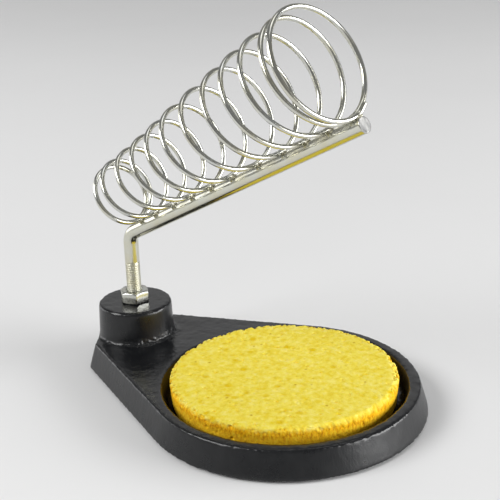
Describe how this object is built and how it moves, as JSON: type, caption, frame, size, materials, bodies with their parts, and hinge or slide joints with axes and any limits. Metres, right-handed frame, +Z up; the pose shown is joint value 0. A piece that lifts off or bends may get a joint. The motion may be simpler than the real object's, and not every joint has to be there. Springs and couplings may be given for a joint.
{
  "type": "soldering iron stand",
  "caption": "Cast base with a round sponge dish and a threaded boss; a bent rod on it carries a conical wire coil that holds a soldering iron.",
  "frame": {"origin": "on the rest plane under the holder rod's vertical axis, at the middle of the foot below the boss", "axes": "+Z up along the rod's threaded end, +X towards the centre of the sponge dish"},
  "size_m": [0.1236, 0.0892, 0.1265],
  "materials": {
    "cast_base": "satin black paint over a fine sand-cast skin",
    "foot_rubber": "matt black rubber",
    "sponge": "damp yellow cellulose sponge with open pores",
    "rod_zinc": "bright zinc plate with a pale yellow passivation tint",
    "nut_zinc": "bright zinc plate",
    "coil_wire": "bright drawn and plated steel wire",
    "weld_metal": "plated spot-weld metal, slightly dull"
  },
  "bodies": {
    "base": {"base_casting": "cast_base", "rubber_feet": "foot_rubber"},
    "sponge": {"sponge": "sponge"},
    "holder": {"holder_rod": "rod_zinc", "holder_coil": "coil_wire", "coil_welds": "weld_metal"},
    "lock_nut": {"lock_nut": "nut_zinc"}
  },
  "joints": [
    {"name": "holder_swivel", "type": "hinge", "parent": "base", "child": "holder", "pos_m": [0, 0, 0.0211], "axis": [0, 0, 1], "range_deg": [-180, 180]},
    {"name": "nut_back_off", "type": "slide", "parent": "holder", "child": "lock_nut", "axis": [0, 0, 1], "range_m": [0, 0.008]},
    {"name": "sponge_lift", "type": "slide", "parent": "base", "child": "sponge", "axis": [0, 0, 1], "range_m": [0, 0.03]}
  ]
}
